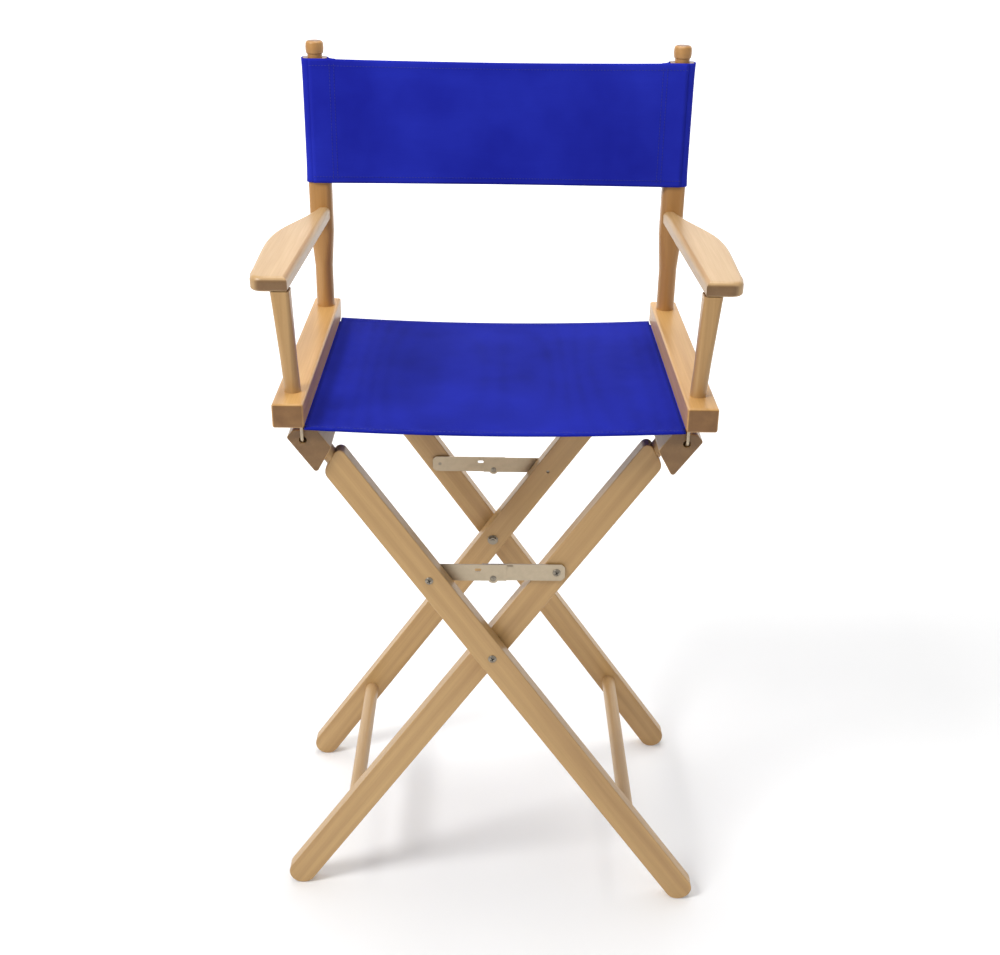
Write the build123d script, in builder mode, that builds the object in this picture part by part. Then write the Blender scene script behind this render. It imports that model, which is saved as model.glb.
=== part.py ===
"""Tall folding director's chair: two crossed leg frames, two arm frames, a canvas seat and back.

Millimetres, +X to the right as seen from the front, +Y to the back, +Z up.
The origin is on the floor, under the middle of the chair.
The outer leg frame runs from the left hinge rail down to the right feet, and the inner frame
runs from the right hinge rail down to the left feet, so the two cross and turn on two bolts.
"""
import os
from math import acos, cos, degrees, hypot, radians, sin

from build123d import *

os.makedirs("parts", exist_ok=True)

SIDES = (("left", -1), ("right", 1))
ENDS = (("front", -1), ("rear", 1))

# Seat rails: the two long members that carry the seat canvas and the arm posts.
RAIL_TOP = 780.0
RAIL_HEIGHT = 31.0
RAIL_WIDTH = 38.0
RAIL_HALF_LENGTH = 212.0
RAIL_INNER = 230.0
RAIL_ROUND = 3.0
RAIL_UNDER = RAIL_TOP - RAIL_HEIGHT
RAIL_X = RAIL_INNER + RAIL_WIDTH / 2

# Hem groove on the underside of each seat rail, with the dowel that locks the canvas in it.
GROOVE_X = 253.5
GROOVE_WIDTH = 9.5
GROOVE_DEPTH = 9.0
GROOVE_HALF_LENGTH = 206.5
HEM_RADIUS = 4.5
CLOTH = 1.2
HEM_Z = RAIL_UNDER - 0.3 + HEM_RADIUS
SEAT_DOWEL_RADIUS = HEM_RADIUS - CLOTH

# Posts and armrests.
POST_X = 248.0
BACK_POST_Y = 178.0
POST_ROUND_DIA = 25.0
POST_WIDE = 32.0
POST_DEEP = 24.0
POST_CORNER = 8.0
ROUND_PART = 60.0
BLEND_PART = 50.0
BACK_LOW = 961.0
BACK_TOP = 1127.0
NECK_RADIUS = 10.0
NECK_SHOWN = 5.0
KNOB_RADIUS = 12.2
KNOB_TOP = 1149.0
ARM_POST_Y = -166.0
ARM_POST_LEAN = 8.0
ARM_POST_DIA = 20.0
ARM_POST_SQUARE = 23.0
ARM_TOP = 926.0
ARM_THICK = 18.0
ARM_TOP_ROUND = 6.5
ARM_UNDER_ROUND = 3.5
ARM_FRONT = -178.0
ARM_UNDER = ARM_TOP - ARM_THICK
ARM_BACK = BACK_POST_Y - POST_DEEP / 2
POST_TENON_RADIUS = 10.0
ARM_TENON_RADIUS = 7.0
ARM_DOWEL = (244.0, ARM_TOP - ARM_THICK / 2)
ARM_DOWEL_RADIUS = 4.0
TENON_BOTTOM = RAIL_UNDER + GROOVE_DEPTH + 1.5
ARM_TENON_LENGTH = 11.0
SNUG = 0.1

# Leg frames.
LEG_ANGLE = radians(55.0)
PIVOT_Z = 412.0
LEG_WIDTH = 38.0
LEG_THICK = 21.0
LEG_EDGE = 1.5
FOOT_RADIUS = LEG_WIDTH / 2
FOOT_S = (PIVOT_Z - FOOT_RADIUS) / sin(LEG_ANGLE)
LEG_GAP = 7.0
OUTER_FACE = 193.0
OUTER_INSIDE = OUTER_FACE - LEG_THICK
INNER_FACE = OUTER_INSIDE - LEG_GAP
INNER_INSIDE = INNER_FACE - LEG_THICK
SHOULDER_LOW_S = -343.0
SHOULDER_HIGH_S = -361.6
SHOULDER_LOW_ROUND = 14.0
SHOULDER_HIGH_ROUND = 8.0
LEG_TENON_RADIUS = 10.0
LEG_TENON_END = -378.0
STRETCHER_S = 342.0
STRETCHER_RADIUS = 10.5
STRETCHER_TENON_RADIUS = 7.5
STRETCHER_TENON_LENGTH = 14.0

# Hinge rails and the steel rods that join them to the seat rails.
ROD_X = 234.0
ROD_Z = RAIL_UNDER - 20.0
ROD_RADIUS = 2.1
ROD_BEND = 6.0
ROD_END_Y = 204.5
ROD_SOCKET = 12.0
HINGE_HALF_LENGTH = 200.0
HINGE_BORE_RADIUS = 4.8
HINGE_SECTION = ((-12.4, 12.4), (17.0, 14.3), (34.2, -9.5), (14.7, -44.7), (-20.0, 2.9))

# Folding braces. Each is two steel links whose middle rivet sits below their centre line.
BRACE_S = 144.0
BRACE_X = BRACE_S * cos(LEG_ANGLE)
BRACE_Z = PIVOT_Z + BRACE_S * sin(LEG_ANGLE)
LINK_WIDTH = 24.0
LINK_THICK = 1.4
LINK_END = 11.0
LINK_OVERLAP = (17.0, 15.0)
LINK_DROP = 8.5
EAR_RADIUS = 7.0
SCREW_RADIUS = 2.5
RIVET_RADIUS = 2.0
BRACE_SPACER = 1.9
LINK_SPLIT = 0.4
RUNNING = 0.08

# Pivot bolts.
BOLT_RADIUS = 3.0
BOLT_HEAD_RADIUS = 5.6
BOLT_HEAD_HEIGHT = 2.6
NUT_RADIUS = 6.4
NUT_HEIGHT = 4.0
WASHER_RADIUS = 8.0
WASHER_THICK = 1.0
SPACER_RADIUS = 9.0
SIDE_PLAY = 0.3

# Canvas.
SEAT_SAG = 6.0
SEAT_CLOTH = 1.4
SLEEVE_CLOTH = 1.2
SLEEVE_EASE = 0.3
BACK_CLOTH = 1.6
PANEL_PLAY = 0.3
PANEL_Y = BACK_POST_Y - POST_DEEP / 2 - SLEEVE_EASE - SLEEVE_CLOTH - PANEL_PLAY - BACK_CLOTH / 2

# Folding: how far the outer frame turns, and how far each brace link turns with it.
rod_reach = hypot(ROD_X, ROD_Z - PIVOT_Z)
FOLD_DEG = 30.8
folded_half = rod_reach * cos(acos(ROD_X / rod_reach) + radians(FOLD_DEG))
link_reach = hypot(BRACE_X, LINK_DROP)
link_start = -degrees(acos(BRACE_X / link_reach))
link_stop = degrees(acos(BRACE_S * cos(LEG_ANGLE + radians(FOLD_DEG)) / link_reach))
print("folded half width", round(folded_half, 2))
print("brace link ratio", round((link_stop - link_start + FOLD_DEG) / FOLD_DEG, 4))


def save(piece, name):
    """Label a finished piece and write its STEP file."""
    piece.part.label = name
    export_step(piece.part, f"parts/{name}.step")


def leg_plane(lean, y):
    """Plane of a leg: local x runs down the leg to its foot, on the side that lean names."""
    return Plane(
        origin=(0, y, PIVOT_Z),
        x_dir=(lean * cos(LEG_ANGLE), 0, -sin(LEG_ANGLE)),
        z_dir=(0, -lean, 0),
    )


def along_leg(lean, y, s):
    """Plane across a leg at distance s from the pivot, facing down the leg."""
    return Plane(
        origin=leg_plane(lean, y).from_local_coords(Vector(s, 0, 0)),
        x_dir=(0, 1, 0),
        z_dir=(lean * cos(LEG_ANGLE), 0, -sin(LEG_ANGLE)),
    )


def make_seat_rail(side, sx):
    with BuildPart() as rail:
        with BuildSketch(Plane.XZ):
            with Locations((sx * RAIL_X, RAIL_TOP - RAIL_HEIGHT / 2)):
                Rectangle(RAIL_WIDTH, RAIL_HEIGHT)
        extrude(amount=RAIL_HALF_LENGTH, both=True)
        fillet(rail.edges(), RAIL_ROUND)
        with Locations((sx * GROOVE_X, 0, RAIL_UNDER)):
            Box(GROOVE_WIDTH, 2 * GROOVE_HALF_LENGTH, 2 * GROOVE_DEPTH, mode=Mode.SUBTRACT)
        for y, radius in ((BACK_POST_Y, POST_TENON_RADIUS), (ARM_POST_Y, ARM_TENON_RADIUS)):
            with BuildSketch(Plane((sx * POST_X, y, TENON_BOTTOM - SNUG))):
                Circle(radius + SNUG)
            extrude(amount=RAIL_HEIGHT, mode=Mode.SUBTRACT)
        for _, sy in ENDS:
            with BuildSketch(Plane((sx * ROD_X, sy * ROD_END_Y, RAIL_UNDER - 1))):
                Circle(ROD_RADIUS + SNUG)
            extrude(amount=ROD_SOCKET + 2, mode=Mode.SUBTRACT)
    save(rail, f"seat_rail_{side}")


def make_back_post(side, sx):
    x, y = sx * POST_X, BACK_POST_Y
    with BuildPart() as post:
        for z, wide, deep, corner in (
            (RAIL_TOP, POST_ROUND_DIA, POST_ROUND_DIA, POST_ROUND_DIA / 2 - 0.2),
            (RAIL_TOP + ROUND_PART, POST_ROUND_DIA, POST_ROUND_DIA, POST_ROUND_DIA / 2 - 0.2),
            (RAIL_TOP + ROUND_PART + BLEND_PART, POST_WIDE, POST_DEEP, POST_CORNER),
            (BACK_TOP, POST_WIDE, POST_DEEP, POST_CORNER),
        ):
            with BuildSketch(Plane((x, y, z))):
                RectangleRounded(wide, deep, corner)
        loft(ruled=True)
        with BuildSketch(Plane((x, y, TENON_BOTTOM))):
            Circle(POST_TENON_RADIUS)
        extrude(amount=RAIL_TOP - TENON_BOTTOM)
        knob_low = BACK_TOP + NECK_SHOWN
        with BuildSketch(Plane(origin=(x, y, 0), x_dir=(1, 0, 0), z_dir=(0, -1, 0))):
            with BuildLine():
                Polyline(
                    (0, BACK_TOP - 2), (NECK_RADIUS, BACK_TOP - 2), (NECK_RADIUS, knob_low),
                    (KNOB_RADIUS - 0.8, knob_low + 0.8),
                )
                ThreePointArc(
                    (KNOB_RADIUS - 0.8, knob_low + 0.8),
                    (KNOB_RADIUS, (knob_low + KNOB_TOP) / 2),
                    (KNOB_RADIUS - 0.6, KNOB_TOP - 3.0),
                )
                ThreePointArc(
                    (KNOB_RADIUS - 0.6, KNOB_TOP - 3.0),
                    (KNOB_RADIUS - 2.2, KNOB_TOP - 0.9),
                    (KNOB_RADIUS - 5.0, KNOB_TOP),
                )
                Polyline((KNOB_RADIUS - 5.0, KNOB_TOP), (0, KNOB_TOP), (0, BACK_TOP - 2))
            make_face()
        revolve(axis=Axis((x, y, 0), (0, 0, 1)))
        dowel_x, dowel_z = sx * ARM_DOWEL[0], ARM_DOWEL[1]
        with BuildSketch(Plane(origin=(dowel_x, y - POST_DEEP, dowel_z), z_dir=(0, 1, 0))):
            Circle(ARM_DOWEL_RADIUS + SNUG)
        extrude(amount=POST_DEEP + 4, mode=Mode.SUBTRACT)
    save(post, f"back_post_{side}")


def make_arm_post(side, sx):
    top_x = sx * (POST_X + ARM_POST_LEAN)
    with BuildPart() as post:
        for z, x, size, corner in (
            (RAIL_TOP, sx * POST_X, ARM_POST_DIA, ARM_POST_DIA / 2 - 0.2),
            (RAIL_TOP + 40, sx * (POST_X + ARM_POST_LEAN / 3), ARM_POST_DIA, ARM_POST_DIA / 2 - 1),
            (ARM_UNDER, top_x, ARM_POST_SQUARE, 5.0),
        ):
            with BuildSketch(Plane((x, ARM_POST_Y, z))):
                RectangleRounded(size, size, corner)
        loft(ruled=True)
        with BuildSketch(Plane((sx * POST_X, ARM_POST_Y, TENON_BOTTOM))):
            Circle(ARM_TENON_RADIUS)
        extrude(amount=RAIL_TOP - TENON_BOTTOM)
        with BuildSketch(Plane((top_x, ARM_POST_Y, ARM_UNDER))):
            Circle(ARM_TENON_RADIUS)
        extrude(amount=ARM_TENON_LENGTH)
    save(post, f"arm_post_{side}")


def make_armrest(side, sx):
    inner_back, inner_front = (sx * 235, ARM_BACK), (sx * 246, ARM_FRONT)
    outer_back, outer_front = (sx * 253, ARM_BACK), (sx * 294, -150)
    with BuildPart() as arm:
        with BuildSketch(Plane.XY.offset(ARM_UNDER)):
            with BuildLine():
                Line(inner_back, inner_front)
                Line(inner_front, (sx * 276, ARM_FRONT))
                TangentArc((sx * 276, ARM_FRONT), (sx * 292, ARM_FRONT + 16), tangent=(sx, 0))
                Line((sx * 292, ARM_FRONT + 16), outer_front)
                Spline(outer_front, (sx * 297, -50), (sx * 291, 40), (sx * 271, 102), outer_back)
                Line(outer_back, inner_back)
            make_face()
        extrude(amount=ARM_THICK)
        top_edges = arm.faces().sort_by(Axis.Z)[-1].edges().sort_by(Axis.Y)[:-1]
        fillet(top_edges, ARM_TOP_ROUND)
        low_edges = arm.faces().sort_by(Axis.Z)[0].edges().sort_by(Axis.Y)[:-1]
        fillet(low_edges, ARM_UNDER_ROUND)
        with BuildSketch(Plane((sx * (POST_X + ARM_POST_LEAN), ARM_POST_Y, ARM_UNDER - 1))):
            Circle(ARM_TENON_RADIUS + SNUG)
        extrude(amount=ARM_TENON_LENGTH + 1.5, mode=Mode.SUBTRACT)
        with BuildSketch(Plane(origin=(sx * ARM_DOWEL[0], ARM_BACK, ARM_DOWEL[1]), z_dir=(0, -1, 0))):
            Circle(ARM_DOWEL_RADIUS + SNUG)
        extrude(amount=22, mode=Mode.SUBTRACT)
    save(arm, f"armrest_{side}")


def make_armrest_dowel(side, sx):
    with BuildPart() as dowel:
        with BuildSketch(Plane(origin=(sx * ARM_DOWEL[0], ARM_BACK, ARM_DOWEL[1]), z_dir=(0, 1, 0))):
            Circle(ARM_DOWEL_RADIUS)
        extrude(amount=15)
        extrude(dowel.faces().sort_by(Axis.Y)[0], amount=21)
    save(dowel, f"armrest_dowel_{side}")


def make_hinge_rod(side, sx):
    corners = [
        (sx * ROD_X, -ROD_END_Y, RAIL_UNDER + ROD_SOCKET),
        (sx * ROD_X, -ROD_END_Y, ROD_Z),
        (sx * ROD_X, ROD_END_Y, ROD_Z),
        (sx * ROD_X, ROD_END_Y, RAIL_UNDER + ROD_SOCKET),
    ]
    with BuildPart() as rod:
        with BuildLine():
            FilletPolyline(*corners, radius=ROD_BEND)
        with BuildSketch(Plane(origin=corners[0], z_dir=(0, 0, -1))):
            Circle(ROD_RADIUS)
        sweep()
    save(rod, f"hinge_rod_{side}")


def make_hinge_rail(side, sx):
    lean = -sx
    faces = (OUTER_FACE + OUTER_INSIDE) / 2 if side == "left" else (INNER_FACE + INNER_INSIDE) / 2
    with BuildPart() as rail:
        with BuildSketch(Plane.XZ) as section:
            with BuildLine():
                outline = [(sx * (ROD_X - px), ROD_Z + pz) for px, pz in HINGE_SECTION]
                Polyline(*outline, close=True)
            make_face()
            fillet(section.vertices(), 3.5)
        extrude(amount=HINGE_HALF_LENGTH, both=True)
        ends = rail.faces().filter_by(Axis.Y)
        fillet(ends.edges(), 1.2)
        with Locations(Plane(origin=(sx * ROD_X, 0, ROD_Z), z_dir=(0, 1, 0))):
            Hole(HINGE_BORE_RADIUS)
        for _, sy in ENDS:
            with BuildSketch(along_leg(lean, sy * faces, LEG_TENON_END - 1)):
                Circle(LEG_TENON_RADIUS + SNUG)
            extrude(amount=60, mode=Mode.SUBTRACT)
    save(rail, f"hinge_rail_{side}")


def make_leg(name, lean, end, face, stretcher):
    """One leg; face is the distance of its middle plane from the chair's middle."""
    sy = -1 if end == "front" else 1
    plane = leg_plane(lean, sy * face)
    half = LEG_WIDTH / 2
    with BuildPart() as leg:
        with BuildSketch(plane) as section:
            with BuildLine():
                Polyline(
                    (FOOT_S, -half), (SHOULDER_LOW_S, -half), (SHOULDER_HIGH_S, half), (FOOT_S, half)
                )
                ThreePointArc((FOOT_S, half), (FOOT_S + FOOT_RADIUS, 0), (FOOT_S, -half))
            make_face()
            fillet(section.vertices().sort_by(Axis.X)[1], SHOULDER_LOW_ROUND)
            fillet(section.vertices().sort_by(Axis.X)[0], SHOULDER_HIGH_ROUND)
        extrude(amount=LEG_THICK / 2, both=True)
        fillet(leg.faces().filter_by(Axis.Y).edges(), LEG_EDGE)
        with BuildSketch(along_leg(lean, sy * face, LEG_TENON_END)):
            Circle(LEG_TENON_RADIUS)
        extrude(amount=SHOULDER_LOW_S - LEG_TENON_END + 8)
        with Locations(plane):
            Hole(BOLT_RADIUS + RUNNING)
        with Locations(plane.shift_origin(plane.from_local_coords(Vector(-BRACE_S, 0, 0)))):
            Hole(SCREW_RADIUS + RUNNING)
        if stretcher:
            inside = plane.from_local_coords(Vector(STRETCHER_S, 0, 0))
            wall = Plane(
                origin=(inside.X, sy * (face - LEG_THICK / 2), inside.Z), z_dir=(0, sy, 0)
            )
            with BuildSketch(wall):
                Circle(STRETCHER_TENON_RADIUS + SNUG)
            extrude(amount=STRETCHER_TENON_LENGTH + SNUG, mode=Mode.SUBTRACT)
    save(leg, name)


def make_stretcher(side, sx, inside):
    where = leg_plane(sx, 0).from_local_coords(Vector(STRETCHER_S, 0, 0))
    middle = Plane(origin=where, x_dir=(1, 0, 0), z_dir=(0, -1, 0))
    with BuildPart() as bar:
        with BuildSketch(middle):
            Circle(STRETCHER_RADIUS)
        extrude(amount=inside, both=True)
        with BuildSketch(middle):
            Circle(STRETCHER_TENON_RADIUS)
        extrude(amount=inside + STRETCHER_TENON_LENGTH, both=True)
    save(bar, f"stretcher_{side}")


def make_headed_pin(name, x, z, face_y, out, head_radius, head_height, radius, length):
    """Slotted domed head on a plain shank. The head stands out of face_y, towards out."""
    with BuildPart() as pin:
        with BuildSketch(Plane(origin=(x, face_y, z), x_dir=(1, 0, 0), z_dir=(0, 0, out))):
            with BuildLine():
                ThreePointArc(
                    (0, head_height),
                    (0.62 * head_radius, 0.78 * head_height),
                    (head_radius, 0.25 * head_height),
                )
                Polyline(
                    (head_radius, 0.25 * head_height), (head_radius, 0), (radius, 0),
                    (radius, -length), (0, -length), (0, head_height),
                )
            make_face()
        revolve(axis=Axis((x, face_y, z), (0, 1, 0)))
        with Locations(Location((x, face_y + out * head_height, z), (0, 25, 0))):
            Box(1.1, head_height, 3 * head_radius, mode=Mode.SUBTRACT)
    save(pin, name)


def make_ring(name, x, z, low_y, thick, outer, bore):
    with BuildPart() as ring:
        with BuildSketch(Plane(origin=(x, low_y, z), z_dir=(0, 1, 0))):
            Circle(outer)
            Circle(bore, mode=Mode.SUBTRACT)
        extrude(amount=thick)
    save(ring, name)


def make_nut(name, low_y):
    with BuildPart() as nut:
        with BuildSketch(Plane(origin=(0, low_y, PIVOT_Z), z_dir=(0, 1, 0))):
            RegularPolygon(NUT_RADIUS, 6)
        extrude(amount=NUT_HEIGHT)
        chamfer(nut.edges().filter_by(Axis.Y), 0.4)
        with Locations(Plane(origin=(0, low_y, PIVOT_Z), z_dir=(0, 1, 0))):
            Hole(BOLT_RADIUS)
    save(nut, name)


def make_link(side, sx, end, low_y):
    """Half a folding brace: a flat strip with an ear for the rivet that joins the halves."""
    overlap = LINK_OVERLAP[0] if side == "left" else LINK_OVERLAP[1]
    near, far = sx * (BRACE_X + LINK_END), -sx * overlap
    with BuildPart() as link:
        with BuildSketch(Plane(origin=(0, low_y, 0), x_dir=(1, 0, 0), z_dir=(0, -1, 0))):
            with Locations(((near + far) / 2, BRACE_Z)):
                strip = Rectangle(abs(near - far), LINK_WIDTH)
            outer_corners = strip.vertices().sort_by(Axis.X)
            chosen = outer_corners[:2] if sx < 0 else outer_corners[-2:]
            chamfer(chosen, 4.5)
            with Locations((0, BRACE_Z - LINK_DROP)):
                Circle(EAR_RADIUS)
                Circle(RIVET_RADIUS + RUNNING, mode=Mode.SUBTRACT)
            with Locations((sx * BRACE_X, BRACE_Z)):
                Circle(SCREW_RADIUS + RUNNING, mode=Mode.SUBTRACT)
            if side == "left":
                with Locations((-20, BRACE_Z + 4)):
                    SlotOverall(9, 4.5, mode=Mode.SUBTRACT)
        extrude(amount=-LINK_THICK)
    save(link, f"brace_link_{side}_{end}")


def make_seat_dowel(side, sx):
    with BuildPart() as dowel:
        with BuildSketch(Plane(origin=(sx * GROOVE_X, 0, HEM_Z), z_dir=(0, -1, 0))):
            Circle(SEAT_DOWEL_RADIUS - SNUG)
        extrude(amount=GROOVE_HALF_LENGTH - 2.5, both=True)
    save(dowel, f"seat_dowel_{side}")


def make_seat_hem(side, sx):
    """The canvas under a seat rail: a sewn tube round the dowel, and the flap that leads inwards."""
    with BuildPart() as hem:
        with BuildSketch(Plane(origin=(sx * GROOVE_X, 0, HEM_Z), z_dir=(0, -1, 0))):
            Circle(HEM_RADIUS)
            Circle(SEAT_DOWEL_RADIUS, mode=Mode.SUBTRACT)
        extrude(amount=GROOVE_HALF_LENGTH - 1, both=True)
        width = GROOVE_X - RAIL_INNER
        with Locations((sx * (RAIL_INNER + width / 2), 0, RAIL_UNDER - CLOTH / 2)):
            Box(width, 396, CLOTH)
    save(hem, f"seat_hem_{side}")


def make_seat_panel():
    edge = RAIL_INNER - PANEL_PLAY
    top = RAIL_UNDER
    low = top - SEAT_CLOTH
    with BuildPart() as panel:
        with BuildSketch(Plane.XZ):
            with BuildLine():
                ThreePointArc((-edge, top), (0, top - SEAT_SAG), (edge, top))
                Line((edge, top), (edge, low))
                ThreePointArc((edge, low), (0, low - SEAT_SAG), (-edge, low))
                Line((-edge, low), (-edge, top))
            make_face()
        extrude(amount=RAIL_HALF_LENGTH, both=True)
    save(panel, "seat_panel")


def make_back_sleeve(side, sx):
    wide, deep = POST_WIDE + 2 * SLEEVE_EASE, POST_DEEP + 2 * SLEEVE_EASE
    with BuildPart() as sleeve:
        with BuildSketch(Plane((sx * POST_X, BACK_POST_Y, BACK_LOW))):
            RectangleRounded(
                wide + 2 * SLEEVE_CLOTH, deep + 2 * SLEEVE_CLOTH, POST_CORNER + SLEEVE_EASE + SLEEVE_CLOTH
            )
            RectangleRounded(wide, deep, POST_CORNER + SLEEVE_EASE, mode=Mode.SUBTRACT)
        extrude(amount=BACK_TOP - BACK_LOW)
    save(sleeve, f"back_sleeve_{side}")


def make_back_panel():
    with BuildPart() as panel:
        with Locations((0, PANEL_Y, (BACK_LOW + BACK_TOP) / 2)):
            Box(2 * POST_X, BACK_CLOTH, BACK_TOP - BACK_LOW)
    save(panel, "back_panel")


for side, sx in SIDES:
    make_seat_rail(side, sx)
    make_back_post(side, sx)
    make_arm_post(side, sx)
    make_armrest(side, sx)
    make_armrest_dowel(side, sx)
    make_hinge_rod(side, sx)
    make_hinge_rail(side, sx)
    make_seat_dowel(side, sx)
    make_seat_hem(side, sx)
    make_back_sleeve(side, sx)
make_seat_panel()
make_back_panel()

for end, sy in ENDS:
    make_leg(f"outer_leg_{end}", 1, end, (OUTER_FACE + OUTER_INSIDE) / 2, True)
    make_leg(f"inner_leg_{end}", -1, end, (INNER_FACE + INNER_INSIDE) / 2, True)
make_stretcher("right", 1, OUTER_INSIDE)
make_stretcher("left", -1, INNER_INSIDE)

bolt_length = OUTER_FACE - INNER_INSIDE + SIDE_PLAY + WASHER_THICK + NUT_HEIGHT + 1.5
for end, sy in ENDS:
    # Each stack is measured inwards, from the outer leg's inner side.
    def inward(depth, thick=0.0):
        """Lowest y of a layer that starts depth inside the outer leg and is thick deep."""
        return sy * (OUTER_INSIDE - depth) - (thick if sy > 0 else 0.0)

    make_headed_pin(
        f"pivot_bolt_{end}", 0, PIVOT_Z, sy * OUTER_FACE, sy,
        BOLT_HEAD_RADIUS, BOLT_HEAD_HEIGHT, BOLT_RADIUS, bolt_length,
    )
    make_ring(
        f"pivot_spacer_{end}", 0, PIVOT_Z, inward(SIDE_PLAY, LEG_GAP - 2 * SIDE_PLAY),
        LEG_GAP - 2 * SIDE_PLAY, SPACER_RADIUS, BOLT_RADIUS + RUNNING,
    )
    washer_depth = LEG_GAP + LEG_THICK + SIDE_PLAY
    make_ring(
        f"pivot_washer_{end}", 0, PIVOT_Z, inward(washer_depth, WASHER_THICK),
        WASHER_THICK, WASHER_RADIUS, BOLT_RADIUS + RUNNING,
    )
    make_nut(f"pivot_nut_{end}", inward(washer_depth + WASHER_THICK, NUT_HEIGHT))

    link_left = BRACE_SPACER
    link_right = link_left + LINK_THICK + LINK_SPLIT
    for side, sx, depth in (("left", -1, link_left), ("right", 1, link_right)):
        low = inward(depth, LINK_THICK)
        make_link(side, sx, end, low)
    make_ring(
        f"brace_spacer_left_{end}", -BRACE_X, BRACE_Z, inward(0, BRACE_SPACER),
        BRACE_SPACER, EAR_RADIUS, SCREW_RADIUS + RUNNING,
    )
    right_rest = link_right + LINK_THICK
    make_ring(
        f"brace_spacer_right_{end}", BRACE_X, BRACE_Z, inward(right_rest, LEG_GAP - right_rest),
        LEG_GAP - right_rest, EAR_RADIUS, SCREW_RADIUS + RUNNING,
    )
    make_headed_pin(
        f"brace_screw_left_{end}", -BRACE_X, BRACE_Z, sy * OUTER_FACE, sy,
        5.2, 2.4, SCREW_RADIUS, LEG_THICK + link_left + LINK_THICK + 0.1,
    )
    make_headed_pin(
        f"brace_screw_right_{end}", BRACE_X, BRACE_Z, sy * (OUTER_INSIDE - link_right), sy,
        5.2, 2.4, SCREW_RADIUS, LEG_GAP - link_right + LEG_THICK - 2,
    )
    make_headed_pin(
        f"brace_rivet_left_{end}", 0, BRACE_Z - LINK_DROP, sy * (OUTER_INSIDE - link_left), sy,
        4.2, 1.5, RIVET_RADIUS, LINK_THICK,
    )
    make_headed_pin(
        f"brace_rivet_right_{end}", 0, BRACE_Z - LINK_DROP, sy * (OUTER_INSIDE - right_rest), -sy,
        4.2, 1.4, RIVET_RADIUS, LINK_THICK,
    )
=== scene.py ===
"""Looks of the folding director's chair: canvas, stitching, wood, steel, stage, light and camera."""
import math

import bmesh
import bpy
from mathutils import Matrix, Vector


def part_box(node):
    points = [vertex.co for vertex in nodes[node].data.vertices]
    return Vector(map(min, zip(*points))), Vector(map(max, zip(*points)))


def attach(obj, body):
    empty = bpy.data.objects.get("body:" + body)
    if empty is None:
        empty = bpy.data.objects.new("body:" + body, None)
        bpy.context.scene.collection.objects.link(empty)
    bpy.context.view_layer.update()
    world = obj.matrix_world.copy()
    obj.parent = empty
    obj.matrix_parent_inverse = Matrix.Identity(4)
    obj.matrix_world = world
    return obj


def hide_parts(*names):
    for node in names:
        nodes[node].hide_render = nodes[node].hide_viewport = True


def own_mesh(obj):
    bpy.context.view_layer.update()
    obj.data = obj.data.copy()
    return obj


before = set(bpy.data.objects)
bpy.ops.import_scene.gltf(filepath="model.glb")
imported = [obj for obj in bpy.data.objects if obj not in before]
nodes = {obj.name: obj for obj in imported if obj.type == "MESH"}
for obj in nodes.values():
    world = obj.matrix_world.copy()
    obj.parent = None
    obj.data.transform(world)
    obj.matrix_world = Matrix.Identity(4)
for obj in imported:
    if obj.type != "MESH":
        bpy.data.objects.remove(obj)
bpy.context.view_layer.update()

SIDES = (("left", -1), ("right", 1))
ENDS = ("front", "rear")
LEG_ANGLE = math.radians(55.0)
SHARP_ANGLE = math.radians(28.0)

# Canvas, in metres.
CLOTH = 0.0012
HEM_WIDTH = 0.011
SEAT_SAG = 0.006
STITCH_PITCH = 0.0042
STITCH_LENGTH = 0.0030
STITCH_RADIUS = 0.0004
SEAM_INSIDE = 0.011

# Seat hem: tube round the dowel, and the flap under the rail as a share of the tube's length.
HEM_RADIUS = 0.0045
HEM_PLAY = 0.0003
FLAP_SHARE = 0.955

# Back canvas: bow between the posts, and the corner that it shares with the sleeves.
BACK_BOW = 0.0030
CORNER = 0.0098
CORNER_ROLL = 0.0003

# Seams, as shares of a canvas edge to edge, and the number of straight runs in a seam.
SEAT_SEAM = 0.018
BACK_SEAM = 0.052
SEAM_RUNS = 24

# Shade of faces that cut across the grain.
END_SHADE = (0.42, 0.36, 0.31, 1.0)

# Cross recess in screw and bolt heads, drawn as dark bars of painted shade.
RECESS_TURN = 0.4
RECESS_REACH = 0.55
RECESS_HALF_WIDTH = 0.0005
RECESS_PROUD = 0.00005
RECESS_DEEP = 0.0006

# Backdrop that sweeps up behind the chair.
BACKDROP_HALF = 7.0
BACKDROP_HEIGHT = 5.0
SWEEP_START = 2.2
SWEEP_RADIUS = 1.6
SWEEP_STEPS = 20

# Camera: place, heading, tilt and roll (radians), and lens for a 36 mm wide sensor.
CAMERA_AT = (-0.0069, -1.6519, 1.3660)
CAMERA_YAW = 0.0093
CAMERA_PITCH = -0.4405
CAMERA_ROLL = 0.0149
CAMERA_LENS = 46.85


# ---------------------------------------------------------------- node helpers

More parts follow.
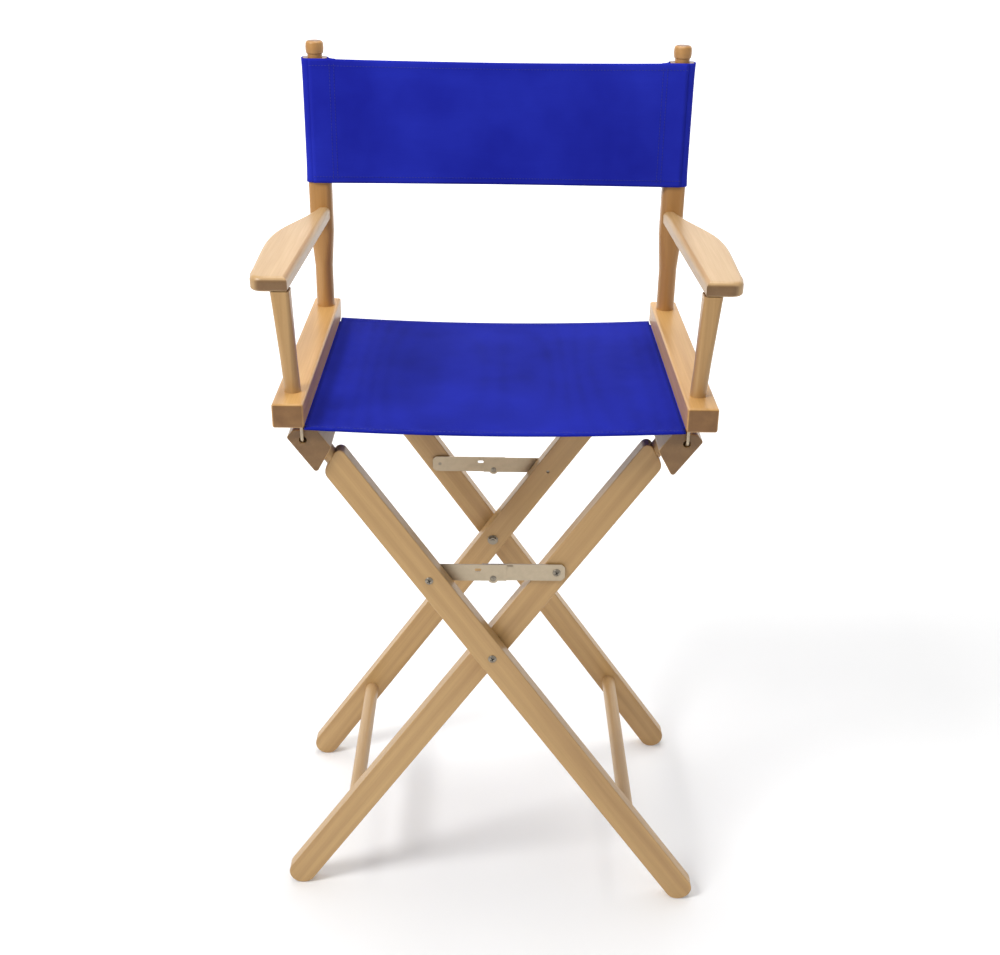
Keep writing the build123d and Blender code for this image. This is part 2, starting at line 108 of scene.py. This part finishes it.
class Nodes:
    """Short calls for building one material's node tree."""

    def __init__(self, name):
        self.material = bpy.data.materials.new(name)
        self.material.use_nodes = True
        self.tree = self.material.node_tree
        self.shader = self.tree.nodes["Principled BSDF"]

    def add(self, kind, **values):
        node = self.tree.nodes.new(kind)
        for key, value in values.items():
            if hasattr(node, key):
                setattr(node, key, value)
            else:
                node.inputs[key].default_value = value
        return node

    def link(self, source, target):
        self.tree.links.new(source, target)

    def coords(self, rotation=(0, 0, 0), scale=(1, 1, 1), location=(0, 0, 0)):
        """Object coordinates, turned first and then stretched."""
        source = self.add("ShaderNodeTexCoord")
        turn = self.add("ShaderNodeMapping")
        turn.inputs["Rotation"].default_value = rotation
        turn.inputs["Location"].default_value = location
        self.link(source.outputs["Object"], turn.inputs["Vector"])
        stretch = self.add("ShaderNodeMapping")
        stretch.inputs["Scale"].default_value = scale
        self.link(turn.outputs["Vector"], stretch.inputs["Vector"])
        return stretch.outputs["Vector"]

    def noise(self, vector, scale, detail=4.0, roughness=0.55, distortion=0.0):
        node = self.add("ShaderNodeTexNoise")
        node.inputs["Scale"].default_value = scale
        node.inputs["Detail"].default_value = detail
        node.inputs["Roughness"].default_value = roughness
        node.inputs["Distortion"].default_value = distortion
        self.link(vector, node.inputs["Vector"])
        return node.outputs["Fac"]

    def ramp(self, value, stops):
        node = self.add("ShaderNodeValToRGB")
        elements = node.color_ramp.elements
        while len(elements) < len(stops):
            elements.new(0.5)
        for element, (place, color) in zip(elements, stops):
            element.position = place
            element.color = (*color, 1.0) if len(color) == 3 else color
        self.link(value, node.inputs["Fac"])
        return node.outputs["Color"]

    def grey(self, value, low, high):
        """Value from 0 to 1 spread between two numbers."""
        node = self.add("ShaderNodeMapRange")
        node.inputs["To Min"].default_value = low
        node.inputs["To Max"].default_value = high
        self.link(value, node.inputs["Value"])
        return node.outputs["Result"]

    def mix(self, factor, a, b, blend="MIX"):
        node = self.add("ShaderNodeMix", data_type="RGBA", blend_type=blend)
        for socket, value in (("Factor", factor), ("A", a), ("B", b)):
            target = [s for s in node.inputs if s.name == socket and s.enabled][0]
            if isinstance(value, bpy.types.NodeSocket):
                self.link(value, target)
            else:
                target.default_value = value
        return [s for s in node.outputs if s.enabled][0]

    def end_grain(self, rotation, colour, shade):
        """Colour, multiplied by shade on the faces that cut across the grain."""
        source = self.add("ShaderNodeTexCoord")
        turn = self.add("ShaderNodeMapping", vector_type="VECTOR")
        turn.inputs["Rotation"].default_value = rotation
        self.link(source.outputs["Normal"], turn.inputs["Vector"])
        split = self.add("ShaderNodeSeparateXYZ")
        self.link(turn.outputs["Vector"], split.inputs["Vector"])
        facing = self.math("ABSOLUTE", split.outputs["X"], 0.0)
        spread = self.add("ShaderNodeMapRange")
        spread.inputs["From Min"].default_value = 0.80
        spread.inputs["From Max"].default_value = 0.97
        self.link(facing, spread.inputs["Value"])
        return self.mix(spread.outputs["Result"], colour, self.mix(1.0, colour, shade, "MULTIPLY"))

    def math(self, operation, a, b):
        node = self.add("ShaderNodeMath", operation=operation)
        for target, value in zip(node.inputs, (a, b)):
            if isinstance(value, bpy.types.NodeSocket):
                self.link(value, target)
            else:
                target.default_value = value
        return node.outputs[0]

    def bump(self, height, strength, distance, below=None):
        node = self.add("ShaderNodeBump")
        node.inputs["Strength"].default_value = strength
        node.inputs["Distance"].default_value = distance
        self.link(height, node.inputs["Height"])
        if below is not None:
            self.link(below, node.inputs["Normal"])
        return node.outputs["Normal"]


# ------------------------------------------------------------------- materials

def wood(name, pale, middle, dark, rotation, seed, figure=1.0):
    """Lacquered beech. After the rotation, the grain runs along local X."""
    n = Nodes(name)
    long_grain = n.coords(rotation, (1.6, 34.0, 34.0), seed)
    fine_grain = n.coords(rotation, (9.0, 420.0, 420.0), seed)
    fleck_space = n.coords(rotation, (60.0, 900.0, 900.0), seed)
    broad = n.noise(long_grain, 1.0, 3.0, 0.5, 0.4)
    fine = n.noise(fine_grain, 1.0, 5.0, 0.6)
    rings = n.add("ShaderNodeTexWave", wave_type="BANDS", bands_direction="Z")
    rings.inputs["Scale"].default_value = 0.55
    rings.inputs["Distortion"].default_value = 5.5 * figure
    rings.inputs["Detail"].default_value = 2.0
    rings.inputs["Detail Scale"].default_value = 0.7
    n.link(long_grain, rings.inputs["Vector"])
    flecks = n.add("ShaderNodeTexVoronoi", feature="F1")
    flecks.inputs["Scale"].default_value = 1.0
    n.link(fleck_space, flecks.inputs["Vector"])
    body = n.ramp(broad, ((0.25, dark), (0.5, middle), (0.78, pale)))
    ringed = n.mix(n.grey(rings.outputs["Fac"], 0.0, 0.30), body, (*dark, 1.0))
    lined = n.mix(n.grey(fine, 0.0, 0.50), ringed, (*[0.72 * c for c in dark], 1.0))
    fleck = n.ramp(flecks.outputs["Distance"], ((0.0, (0.0, 0.0, 0.0)), (0.16, (1, 1, 1))))
    flecked = n.mix(0.22, lined, fleck, "MULTIPLY")
    n.link(n.end_grain(rotation, flecked, END_SHADE), n.shader.inputs["Base Color"])
    n.link(n.grey(fine, 0.34, 0.52), n.shader.inputs["Roughness"])
    n.shader.inputs["Coat Weight"].default_value = 0.22
    n.shader.inputs["Coat Roughness"].default_value = 0.22
    coarse = n.bump(broad, 0.10, 0.0006)
    n.link(n.bump(fine, 0.22, 0.0002, coarse), n.shader.inputs["Normal"])
    return n.material


def canvas(name, deep, lit):
    """Dyed cotton canvas: a plain weave, slightly uneven in colour."""
    n = Nodes(name)
    space = n.coords()
    heights = []
    for direction in ("X", "Y", "Z"):
        threads = n.add("ShaderNodeTexWave", wave_type="BANDS", bands_direction=direction)
        threads.inputs["Scale"].default_value = 340.0
        threads.inputs["Distortion"].default_value = 0.7
        threads.inputs["Detail"].default_value = 1.0
        threads.inputs["Detail Scale"].default_value = 0.4
        n.link(space, threads.inputs["Vector"])
        heights.append(threads.outputs["Fac"])
    weave = n.math("ADD", n.math("MULTIPLY", heights[0], heights[1]), heights[2])
    clouds = n.noise(space, 9.0, 3.0, 0.5)
    slubs = n.noise(n.coords(scale=(40, 40, 700)), 1.0, 2.0)
    colour = n.ramp(clouds, ((0.3, deep), (0.72, lit)))
    threaded = n.mix(n.grey(weave, 0.0, 0.16), colour, (*[1.5 * c for c in lit], 1.0))
    slubbed = n.mix(n.grey(slubs, 0.0, 0.22), threaded, (*deep, 1.0))
    n.link(slubbed, n.shader.inputs["Base Color"])
    n.shader.inputs["Roughness"].default_value = 0.86
    n.shader.inputs["Specular IOR Level"].default_value = 0.04
    n.shader.inputs["Sheen Weight"].default_value = 0.03
    n.shader.inputs["Sheen Roughness"].default_value = 0.5
    soft = n.bump(clouds, 0.25, 0.0012)
    n.link(n.bump(weave, 0.5, 0.00025, soft), n.shader.inputs["Normal"])
    return n.material


def thread(name, colour):
    """Sewing thread, twisted. Also gives the painted shade in the screw recesses."""
    n = Nodes(name)
    twist = n.noise(n.coords(), 1800.0, 2.0)
    n.link(n.ramp(twist, ((0.3, [0.6 * c for c in colour]), (0.7, colour))), n.shader.inputs["Base Color"])
    n.shader.inputs["Roughness"].default_value = 0.7
    return n.material


def plated_steel(name, colour, brushed=(30, 900, 900), rough=(0.24, 0.46)):
    """Dull nickel plate with rolling marks, small scratches and faint stains."""
    n = Nodes(name)
    marks = n.noise(n.coords(scale=brushed), 1.0, 3.0)
    stains = n.noise(n.coords(), 90.0, 4.0, 0.6)
    scratches = n.noise(n.coords(rotation=(0, 0.6, 0), scale=(1500, 60, 60)), 1.0, 2.0)
    worn = n.ramp(stains, ((0.3, [0.88 * c for c in colour]), (0.62, colour)))
    marked = n.mix(n.grey(marks, 0.0, 0.25), worn, (*[0.8 * c for c in colour], 1))
    n.link(marked, n.shader.inputs["Base Color"])
    n.shader.inputs["Metallic"].default_value = 1.0
    n.link(n.grey(stains, *rough), n.shader.inputs["Roughness"])
    lined = n.bump(marks, 0.10, 0.0001)
    n.link(n.bump(scratches, 0.12, 0.0001, lined), n.shader.inputs["Normal"])
    return n.material


def set_material(piece, material):
    piece.data.materials.clear()
    piece.data.materials.append(material)


# Grain directions: local X after the turn is the length of the piece.
ALONG_Y = (0, 0, math.radians(-90))
ALONG_Z = (0, math.radians(90), 0)
ALONG_OUTER = (0, -LEG_ANGLE, 0)
ALONG_INNER = (0, LEG_ANGLE, 0)

RAIL_TONES = ((0.76, 0.46, 0.165), (0.66, 0.37, 0.12), (0.45, 0.225, 0.06))
POST_TONES = ((0.64, 0.35, 0.115), (0.53, 0.27, 0.08), (0.36, 0.165, 0.04))
ARM_POST_TONES = ((0.64, 0.395, 0.165), (0.54, 0.32, 0.12), (0.38, 0.20, 0.065))
PALE_TONES = ((0.64, 0.43, 0.215), (0.57, 0.36, 0.165), (0.42, 0.25, 0.095))
LEG_TONES = ((0.68, 0.435, 0.185), (0.58, 0.355, 0.14), (0.40, 0.225, 0.08))

WOODEN = (
    ("seat_rail", RAIL_TONES, ALONG_Y, 1.4),
    ("armrest_dowel", RAIL_TONES, ALONG_Y, 0.6),
    ("armrest", PALE_TONES, ALONG_Y, 1.0),
    ("back_post", POST_TONES, ALONG_Z, 0.8),
    ("arm_post", ARM_POST_TONES, ALONG_Z, 1.6),
    ("seat_dowel", PALE_TONES, ALONG_Y, 0.5),
    ("outer_leg", LEG_TONES, ALONG_OUTER, 0.9),
    ("inner_leg", LEG_TONES, ALONG_INNER, 0.9),
    ("stretcher", PALE_TONES, ALONG_Y, 0.7),
    ("hinge_rail", LEG_TONES, ALONG_Y, 1.0),
)

blue_canvas = canvas("blue_canvas", (0.010, 0.014, 0.30), (0.020, 0.032, 0.46))
# The seat sheet is the same cloth as its hems and the back. Here it gets a darker copy of that colour:
# painted shade on the seat.
seat_shaded_blue = canvas("seat_canvas_painted_shade", (0.0045, 0.0085, 0.195), (0.0080, 0.0150, 0.300))
blue_thread = thread("blue_thread", (0.02, 0.03, 0.36))
steel = plated_steel("plated_steel", (0.52, 0.43, 0.31), rough=(0.34, 0.46))
# Painted shade: near-black colour for the bars that stand for the shadow in the screw and bolt recesses.
recess_painted_shade = thread("recess_painted_shade", (0.035, 0.030, 0.025))
screw_steel = plated_steel("screw_steel", (0.34, 0.30, 0.24), (200, 200, 200), (0.3, 0.45))

wooden_count = 0
for name in sorted(nodes):
    kind = next((row for row in WOODEN if name.startswith(row[0])), None)
    if kind is not None:
        wooden_count += 1
        seed = (0.137 * wooden_count, 0.211 * wooden_count, 0.173 * wooden_count)
        set_material(nodes[name], wood(f"wood_{name}", *kind[1], kind[2], seed, kind[3]))
    elif name.startswith(("brace_link", "hinge_rod")):
        set_material(nodes[name], steel)
    elif name.startswith(("pivot_", "brace_")):
        set_material(nodes[name], screw_steel)


# ---------------------------------------------------------------- mesh helpers

def mesh_piece(name, vertices, faces, material, smooth=True):
    mesh = bpy.data.meshes.new(name)
    mesh.from_pydata([tuple(v) for v in vertices], [], faces)
    mesh.update()
    piece = bpy.data.objects.new(name, mesh)
    bpy.context.scene.collection.objects.link(piece)
    built = bmesh.new()
    built.from_mesh(mesh)
    bmesh.ops.remove_doubles(built, verts=built.verts, dist=1e-6)
    bmesh.ops.recalc_face_normals(built, faces=built.faces)
    built.to_mesh(mesh)
    built.free()
    for polygon in mesh.polygons:
        polygon.use_smooth = smooth
    mesh.materials.append(material)
    return piece


def thick_grid(name, point, thickness, columns, rows, material):
    """A closed sheet: point(u, v) is its upper side, thickness(u, v) a vector to its lower side."""
    upper, lower = [], []
    for j in range(rows + 1):
        for i in range(columns + 1):
            u, v = i / columns, j / rows
            top = Vector(point(u, v))
            upper.append(top)
            lower.append(top + Vector(thickness(u, v)))
    vertices = upper + lower
    count = len(upper)
    wide = columns + 1
    faces = []
    for j in range(rows):
        for i in range(columns):
            a = j * wide + i
            quad = (a, a + 1, a + 1 + wide, a + wide)
            faces.append(quad)
            faces.append(tuple(count + k for k in reversed(quad)))
    rim = [i for i in range(wide)]
    rim += [j * wide + columns for j in range(1, rows + 1)]
    rim += [rows * wide + i for i in range(columns - 1, -1, -1)]
    rim += [j * wide for j in range(rows - 1, 0, -1)]
    for k, a in enumerate(rim):
        b = rim[(k + 1) % len(rim)]
        faces.append((a, count + a, count + b, b))
    return mesh_piece(name, vertices, faces, material)


def tube_of_section(name, outline, wall, spans, along, material):
    """A closed outline, given wall thickness inwards, carried through spans along one axis."""
    def offset(points, distance):
        moved = []
        for k, p in enumerate(points):
            before, after = points[k - 1], points[(k + 1) % len(points)]
            tangent = (Vector(after) - Vector(before)).normalized()
            moved.append(Vector(p) + Vector((-tangent.y, tangent.x)) * distance)
        return moved

    inner = offset(outline, wall)
    ring = len(outline)
    vertices = []
    for place, swell in spans:
        for p in outline:
            vertices.append(along(p[0], p[1], place, swell))
        for p in inner:
            vertices.append(along(p[0], p[1], place, swell))
    faces = []
    for level in range(len(spans) - 1):
        for k in range(ring):
            m = (k + 1) % ring
            a, b = 2 * ring * level, 2 * ring * (level + 1)
            faces.append((a + k, a + m, b + m, b + k))
            faces.append((a + ring + m, a + ring + k, b + ring + k, b + ring + m))
    for level in (0, len(spans) - 1):
        a = 2 * ring * level
        for k in range(ring):
            m = (k + 1) % ring
            faces.append((a + k, a + m, a + ring + m, a + ring + k))
    return mesh_piece(name, vertices, faces, material)


def arc(centre, radius, start, stop, steps):
    """Points on an arc, angles in degrees."""
    return [
        (
            centre[0] + radius * math.cos(math.radians(start + (stop - start) * k / steps)),
            centre[1] + radius * math.sin(math.radians(start + (stop - start) * k / steps)),
        )
        for k in range(steps + 1)
    ]


def stitches(name, rows, material):
    """Rows of separate stitches. Each row is (start, end, outward normal)."""
    vertices, faces = [], []
    sides = 6
    for start, end, normal in rows:
        start, end, normal = Vector(start), Vector(end), Vector(normal).normalized()
        way = (end - start).normalized()
        across = way.cross(normal)
        count = int((end - start).length / STITCH_PITCH)
        for k in range(count):
            middle = start + way * STITCH_PITCH * (k + 0.5)
            base = len(vertices)
            for t, lift, size in ((-0.5, -0.2, 0.4), (-0.3, 0.5, 1.0), (0.3, 0.5, 1.0), (0.5, -0.2, 0.4)):
                centre = middle + way * STITCH_LENGTH * t + normal * STITCH_RADIUS * lift
                for s in range(sides):
                    turn = 2 * math.pi * s / sides
                    reach = across * math.cos(turn) + normal * math.sin(turn)
                    vertices.append(centre + reach * STITCH_RADIUS * size)
            for ring in range(3):
                for s in range(sides):
                    a = base + ring * sides + s
                    b = base + ring * sides + (s + 1) % sides
                    faces.append((a, b, b + sides, a + sides))
            faces.append(tuple(base + s for s in reversed(range(sides))))
            faces.append(tuple(base + 3 * sides + s for s in range(sides)))
    return mesh_piece(name, vertices, faces, material)


# ------------------------------------------------------------------ seat canvas

panel_low, panel_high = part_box("seat_panel")
seat_edge = panel_high.x
seat_front, seat_back = panel_low.y, panel_high.y
seat_z = panel_high.z


def edge_hem(v, length):
    """1 in the folded hem at either end of a length, 0 between."""
    inside = min(v, 1 - v) * length
    return max(0.0, min(1.0, (HEM_WIDTH - inside) / 0.0015 + 0.5))


def seat_point(u, v):
    x = -seat_edge + 2 * seat_edge * u
    y = seat_front + (seat_back - seat_front) * v
    across = 1 - (2 * u - 1) ** 2
    bow = 0.0012 * math.sin(5 * math.pi * u + 1.3) * math.sin(math.pi * v) * across
    pull = 0.0006 * math.sin(22 * math.pi * v) * (abs(2 * u - 1) ** 6)
    lift = 0.0004 * edge_hem(v, seat_back - seat_front)
    return x, y, seat_z - SEAT_SAG * across + bow + pull * across + lift


def seat_depth(u, v):
    return 0, 0, -CLOTH - 0.0006 * edge_hem(v, seat_back - seat_front)


seat = thick_grid("seat_canvas", seat_point, seat_depth, 96, 84, seat_shaded_blue)
seat_rows = []
for v in (SEAT_SEAM, 1 - SEAT_SEAM):
    for k in range(SEAM_RUNS):
        a, b = seat_point(k / SEAM_RUNS, v), seat_point((k + 1) / SEAM_RUNS, v)
        seat_rows.append((a, b, (0, 0, 1)))
seat_stitches = stitches("seat_stitching", seat_rows, blue_thread)
for piece in (seat, seat_stitches):
    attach(piece, "left_arm")
    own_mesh(piece)
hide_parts("seat_panel")


def hem_piece(side, sx):
    """The sewn tube round the hem dowel, and the flap under the seat rail."""
    low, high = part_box(f"seat_hem_{side}")
    rail_inner = seat_edge + HEM_PLAY
    radius = HEM_RADIUS
    tube_x = max(abs(low.x), abs(high.x)) - radius
    tube_z = high.z - radius
    top, bottom = low.z + CLOTH, low.z
    spans = [(low.y + (high.y - low.y) * k / 40, 0.00025 * math.sin(3.1 * k)) for k in range(41)]
    ring = [(x, z) for x, z in arc((tube_x, tube_z), radius, 0, 360, 32)][:-1]

    def along(x, z, y, swell):
        return sx * x, y, z + 0.3 * swell * (1 if z < tube_z else 0)

    tube = tube_of_section(f"seat_hem_tube_{side}", ring, CLOTH * 0.9, spans, along, blue_canvas)

    def flap_point(u, v):
        y = FLAP_SHARE * (low.y + (high.y - low.y) * v)
        x = rail_inner + (tube_x - rail_inner) * u
        return sx * x, y, top - 0.0001 - 0.0001 * math.sin(40 * v)

    flap = thick_grid(
        f"seat_hem_flap_{side}", flap_point, lambda u, v: (0, 0, bottom - top + 0.0001), 8, 60, blue_canvas
    )
    return tube, flap


for side, sx in SIDES:
    hem_tube, hem_flap = hem_piece(side, sx)
    for piece in (hem_tube, hem_flap):
        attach(piece, f"{side}_arm")
    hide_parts(f"seat_hem_{side}")


# ------------------------------------------------------------------ back canvas

sleeve_low, sleeve_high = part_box("back_sleeve_right")
post_x = (sleeve_low.x + sleeve_high.x) / 2
half_wide = (sleeve_high.x - sleeve_low.x) / 2
half_deep = (sleeve_high.y - sleeve_low.y) / 2
back_low, back_high = sleeve_low.z, sleeve_high.z
back_height = back_high - back_low
front_y = sleeve_low.y
seam_x = post_x - half_wide - SEAM_INSIDE
back_edge = post_x + half_wide - CORNER
panel_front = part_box("back_panel")[0].y


def sleeve_outline():
    """Section of a sleeve in (x, y), for the right post, anticlockwise from the seam."""
    left, right = post_x - half_wide, post_x + half_wide
    points = [(seam_x, front_y), (left + 0.004, front_y), (post_x, front_y)]
    points += arc((right - CORNER, front_y + CORNER), CORNER, -90, 0, 8)
    points += arc((right - CORNER, front_y + 2 * half_deep - CORNER), CORNER, 0, 90, 8)
    points += [(post_x, front_y + 2 * half_deep)]
    points += arc((left + CORNER, front_y + 2 * half_deep - CORNER), CORNER, 90, 150, 6)
    points += [(left - 0.0015, front_y + 0.011), (left - 0.006, front_y + 0.0045)]
    points += [(seam_x, front_y + 0.0022)]
    return points


def make_sleeve(side, sx):
    levels = 44
    spans = [(k / levels, 0.0) for k in range(levels + 1)]

    def along(x, y, v, _):
        z = back_low + back_height * v
        near = max(0.0, min(1.0, (post_x + half_wide - x) / (2 * half_wide)))
        ripple = 0.0005 * math.sin(19 * v + 2.0 * sx) * math.sin(7 * v + 1.0) * near
        flare = 0.0008 * (2 * v - 1) ** 6
        return sx * (x + flare * (1 - near)), y - ripple * 0.6, z

    sleeve = tube_of_section(f"back_sleeve_cloth_{side}", sleeve_outline(), CLOTH, spans, along, blue_canvas)
    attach(sleeve, f"{side}_arm")
    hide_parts(f"back_sleeve_{side}")


def back_point(u, v):
    """Front of the back canvas: it hangs between the posts and rolls round their outer corners."""
    x = -back_edge + 2 * back_edge * u
    z = back_low + back_height * v
    across = max(0.0, 1 - (x / (post_x - half_wide - 0.002)) ** 2)
    roll = CORNER_ROLL * max(0.0, (abs(x) - post_x) / (back_edge - post_x)) ** 2
    bow = -BACK_BOW * across
    wave = 0.0009 * math.sin(4.2 * math.pi * u + 0.7) * math.sin(math.pi * v + 0.4) * across
    tension = 0.0005 * math.sin(9 * math.pi * v) * (2 * u - 1) ** 4 * across
    dip = -0.0016 * across * (2 * v - 1)
    hem = 0.0003 * (1 - edge_hem(v, back_height))
    return x, panel_front + bow + wave + tension + roll + hem, z + dip


def back_depth(u, v):
    return 0, CLOTH, 0


back = thick_grid("back_canvas", back_point, back_depth, 110, 48, blue_canvas)
back_rows = []
for v in (BACK_SEAM, 1 - BACK_SEAM):
    for k in range(SEAM_RUNS):
        a, b = back_point(k / SEAM_RUNS, v), back_point((k + 1) / SEAM_RUNS, v)
        back_rows.append((a, b, (0, -1, 0)))
for sx in (-1, 1):
    for inset in (0.002, 0.008):
        u = 0.5 + sx * (seam_x + inset) / (2 * back_edge)
        for k in range(12):
            low_v, high_v = 0.03 + k * 0.94 / 12, 0.03 + (k + 1) * 0.94 / 12
            back_rows.append((back_point(u, low_v), back_point(u, high_v), (0, -1, 0)))
back_stitches = stitches("back_stitching", back_rows, blue_thread)
for piece in (back, back_stitches):
    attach(piece, "left_arm")
    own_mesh(piece)
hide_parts("back_panel")
for side, sx in SIDES:
    make_sleeve(side, sx)


# ------------------------------------------------------------------- steel lugs

def make_lug(end):
    """The bent stop tab on the right-hand brace link, that halts the left-hand link when flat."""
    low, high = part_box(f"brace_link_right_{end}")
    inner, top = low.x + 0.033, high.z
    out = -1 if end == "front" else 1
    face = low.y if end == "front" else high.y
    path = [(0.0, 0.0), (0.0022, 0.0002), (0.0030, 0.0012), (0.0032, 0.0060), (0.0030, 0.0085)]
    width = 0.0075
    vertices, faces = [], []
    for rise, drop in path:
        for x in (inner, inner + width):
            for skin in (0.0, 0.0011):
                vertices.append((x, face + out * (0.3 * (rise + skin)), top - drop - 0.002))
    for k in range(len(path) - 1):
        a, b = 4 * k, 4 * (k + 1)
        for p, q in ((0, 1), (1, 3), (3, 2), (2, 0)):
            faces.append((a + p, a + q, b + q, b + p))
    faces += [(0, 2, 3, 1), tuple(4 * (len(path) - 1) + k for k in (0, 1, 3, 2))]
    lug = mesh_piece(f"brace_stop_{end}", vertices, faces, steel, smooth=False)
    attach(lug, f"brace_right_{end}")


for end in ENDS:
    make_lug(end)


# ---------------------------------------------------------------- screw recesses

def make_recess(name, body, end):
    """The cross recess in a screw or bolt head, as two crossed dark bars a hair above the face: painted
    shade in place of the hollow's shadow.
    """
    low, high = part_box(name)
    middle = (low + high) / 2
    face, out = (low.y, -1) if end == "front" else (high.y, 1)
    reach = RECESS_REACH * (high.x - low.x) / 2
    vertices, faces = [], []
    for turn in (RECESS_TURN, RECESS_TURN + math.pi / 2):
        along = Vector((math.cos(turn), 0, math.sin(turn)))
        across = Vector((-math.sin(turn), 0, math.cos(turn)))
        base = len(vertices)
        for depth in (RECESS_PROUD, -RECESS_DEEP):
            for a, b in ((-1, -1), (1, -1), (1, 1), (-1, 1)):
                point = along * reach * a + across * RECESS_HALF_WIDTH * b
                vertices.append((middle.x + point.x, face + out * depth, middle.z + point.z))
        faces += [tuple(base + k for k in (0, 1, 2, 3)), tuple(base + k for k in (7, 6, 5, 4))]
        faces += [(base + k, base + 4 + k, base + 4 + (k + 1) % 4, base + (k + 1) % 4) for k in range(4)]
    recess = mesh_piece(f"recess_{name}", vertices, faces, recess_painted_shade, smooth=False)
    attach(recess, body)


HEADS = (
    ("brace_screw_left", "outer_frame"),
    ("brace_screw_right", "inner_frame"),
    ("pivot_bolt", "outer_frame"),
)
for stem, body in HEADS:
    for end in ENDS:
        make_recess(f"{stem}_{end}", body, end)


# --------------------------------------------------------- smooth CAD surfaces

for name, node in nodes.items():
    if not node.hide_render:
        node.data.polygons.foreach_set("use_smooth", [True] * len(node.data.polygons))
        node.data.set_sharp_from_angle(angle=SHARP_ANGLE)


# ----------------------------------------------------- stage, light and camera

def backdrop():
    """Floor that sweeps up behind the chair in one curve."""
    half = BACKDROP_HALF
    path = [(-half, 0.0), (SWEEP_START, 0.0)]
    for k in range(1, SWEEP_STEPS + 1):
        turn = math.radians(90 * k / SWEEP_STEPS)
        path.append((SWEEP_START + SWEEP_RADIUS * math.sin(turn), SWEEP_RADIUS * (1 - math.cos(turn))))
    path.append((SWEEP_START + SWEEP_RADIUS, BACKDROP_HEIGHT))
    vertices = [(x, y, z) for y, z in path for x in (-half, half)]
    faces = [(2 * k, 2 * k + 1, 2 * k + 3, 2 * k + 2) for k in range(len(path) - 1)]
    mesh = bpy.data.meshes.new("backdrop")
    mesh.from_pydata(vertices, [], faces)
    mesh.polygons.foreach_set("use_smooth", [True] * len(mesh.polygons))
    piece = bpy.data.objects.new("backdrop", mesh)
    bpy.context.scene.collection.objects.link(piece)
    return piece


sweep = backdrop()
paper = Nodes("backdrop_paper")
paper.link(paper.ramp(paper.noise(paper.coords(), 3.0), ((0, (0.90, 0.90, 0.90)), (1, (0.93, 0.93, 0.93)))),
           paper.shader.inputs["Base Color"])
paper.shader.inputs["Roughness"].default_value = 0.9
# Painted light: the backdrop glows, its emission rising from 0.04 near the chair to 0.55 further back, to
# keep the far sweep white.
far = paper.add("ShaderNodeSeparateXYZ")
paper.link(paper.coords(), far.inputs["Vector"])
glow = paper.add("ShaderNodeMapRange")
for socket, value in (("From Min", 0.5), ("From Max", 3.2), ("To Min", 0.04), ("To Max", 0.55)):
    glow.inputs[socket].default_value = value
paper.link(far.outputs["Y"], glow.inputs["Value"])
paper.shader.inputs["Emission Color"].default_value = (1.0, 1.0, 1.0, 1.0)
paper.link(glow.outputs["Result"], paper.shader.inputs["Emission Strength"])
sweep.data.materials.append(paper.material)

world = bpy.data.worlds.new("studio")
bpy.context.scene.world = world
world.use_nodes = True
world.node_tree.nodes["Background"].inputs["Color"].default_value = (1.0, 1.0, 1.0, 1.0)
world.node_tree.nodes["Background"].inputs["Strength"].default_value = 0.48


def area_light(name, place, target, size, power):
    light = bpy.data.lights.new(name, "AREA")
    light.shape = "DISK"
    light.size = size
    light.energy = power
    lamp = bpy.data.objects.new(name, light)
    lamp.location = place
    lamp.rotation_euler = (Vector(target) - Vector(place)).to_track_quat("-Z", "Y").to_euler()
    bpy.context.scene.collection.objects.link(lamp)


area_light("key", (-1.9, -1.3, 2.9), (0, 0, 0.7), 1.1, 62)
area_light("fill", (2.2, -1.8, 1.8), (0, 0, 0.6), 2.0, 4)
area_light("top", (0.0, 0.5, 3.2), (0, 0, 0.6), 1.8, 42)

camera_data = bpy.data.cameras.new("camera")
camera_data.sensor_width = 36.0
camera_data.lens = CAMERA_LENS
camera = bpy.data.objects.new("camera", camera_data)
bpy.context.scene.collection.objects.link(camera)
look = Vector((
    math.sin(CAMERA_YAW) * math.cos(CAMERA_PITCH),
    math.cos(CAMERA_YAW) * math.cos(CAMERA_PITCH),
    math.sin(CAMERA_PITCH),
))
level = Vector((math.cos(CAMERA_YAW), -math.sin(CAMERA_YAW), 0))
over = level.cross(look)
right = level * math.cos(CAMERA_ROLL) + over * math.sin(CAMERA_ROLL)
up = over * math.cos(CAMERA_ROLL) - level * math.sin(CAMERA_ROLL)
turned = Matrix((right, up, -look)).transposed().to_4x4()
camera.matrix_world = Matrix.Translation(CAMERA_AT) @ turned
bpy.context.scene.camera = camera
bpy.context.scene.view_settings.view_transform = "Standard"
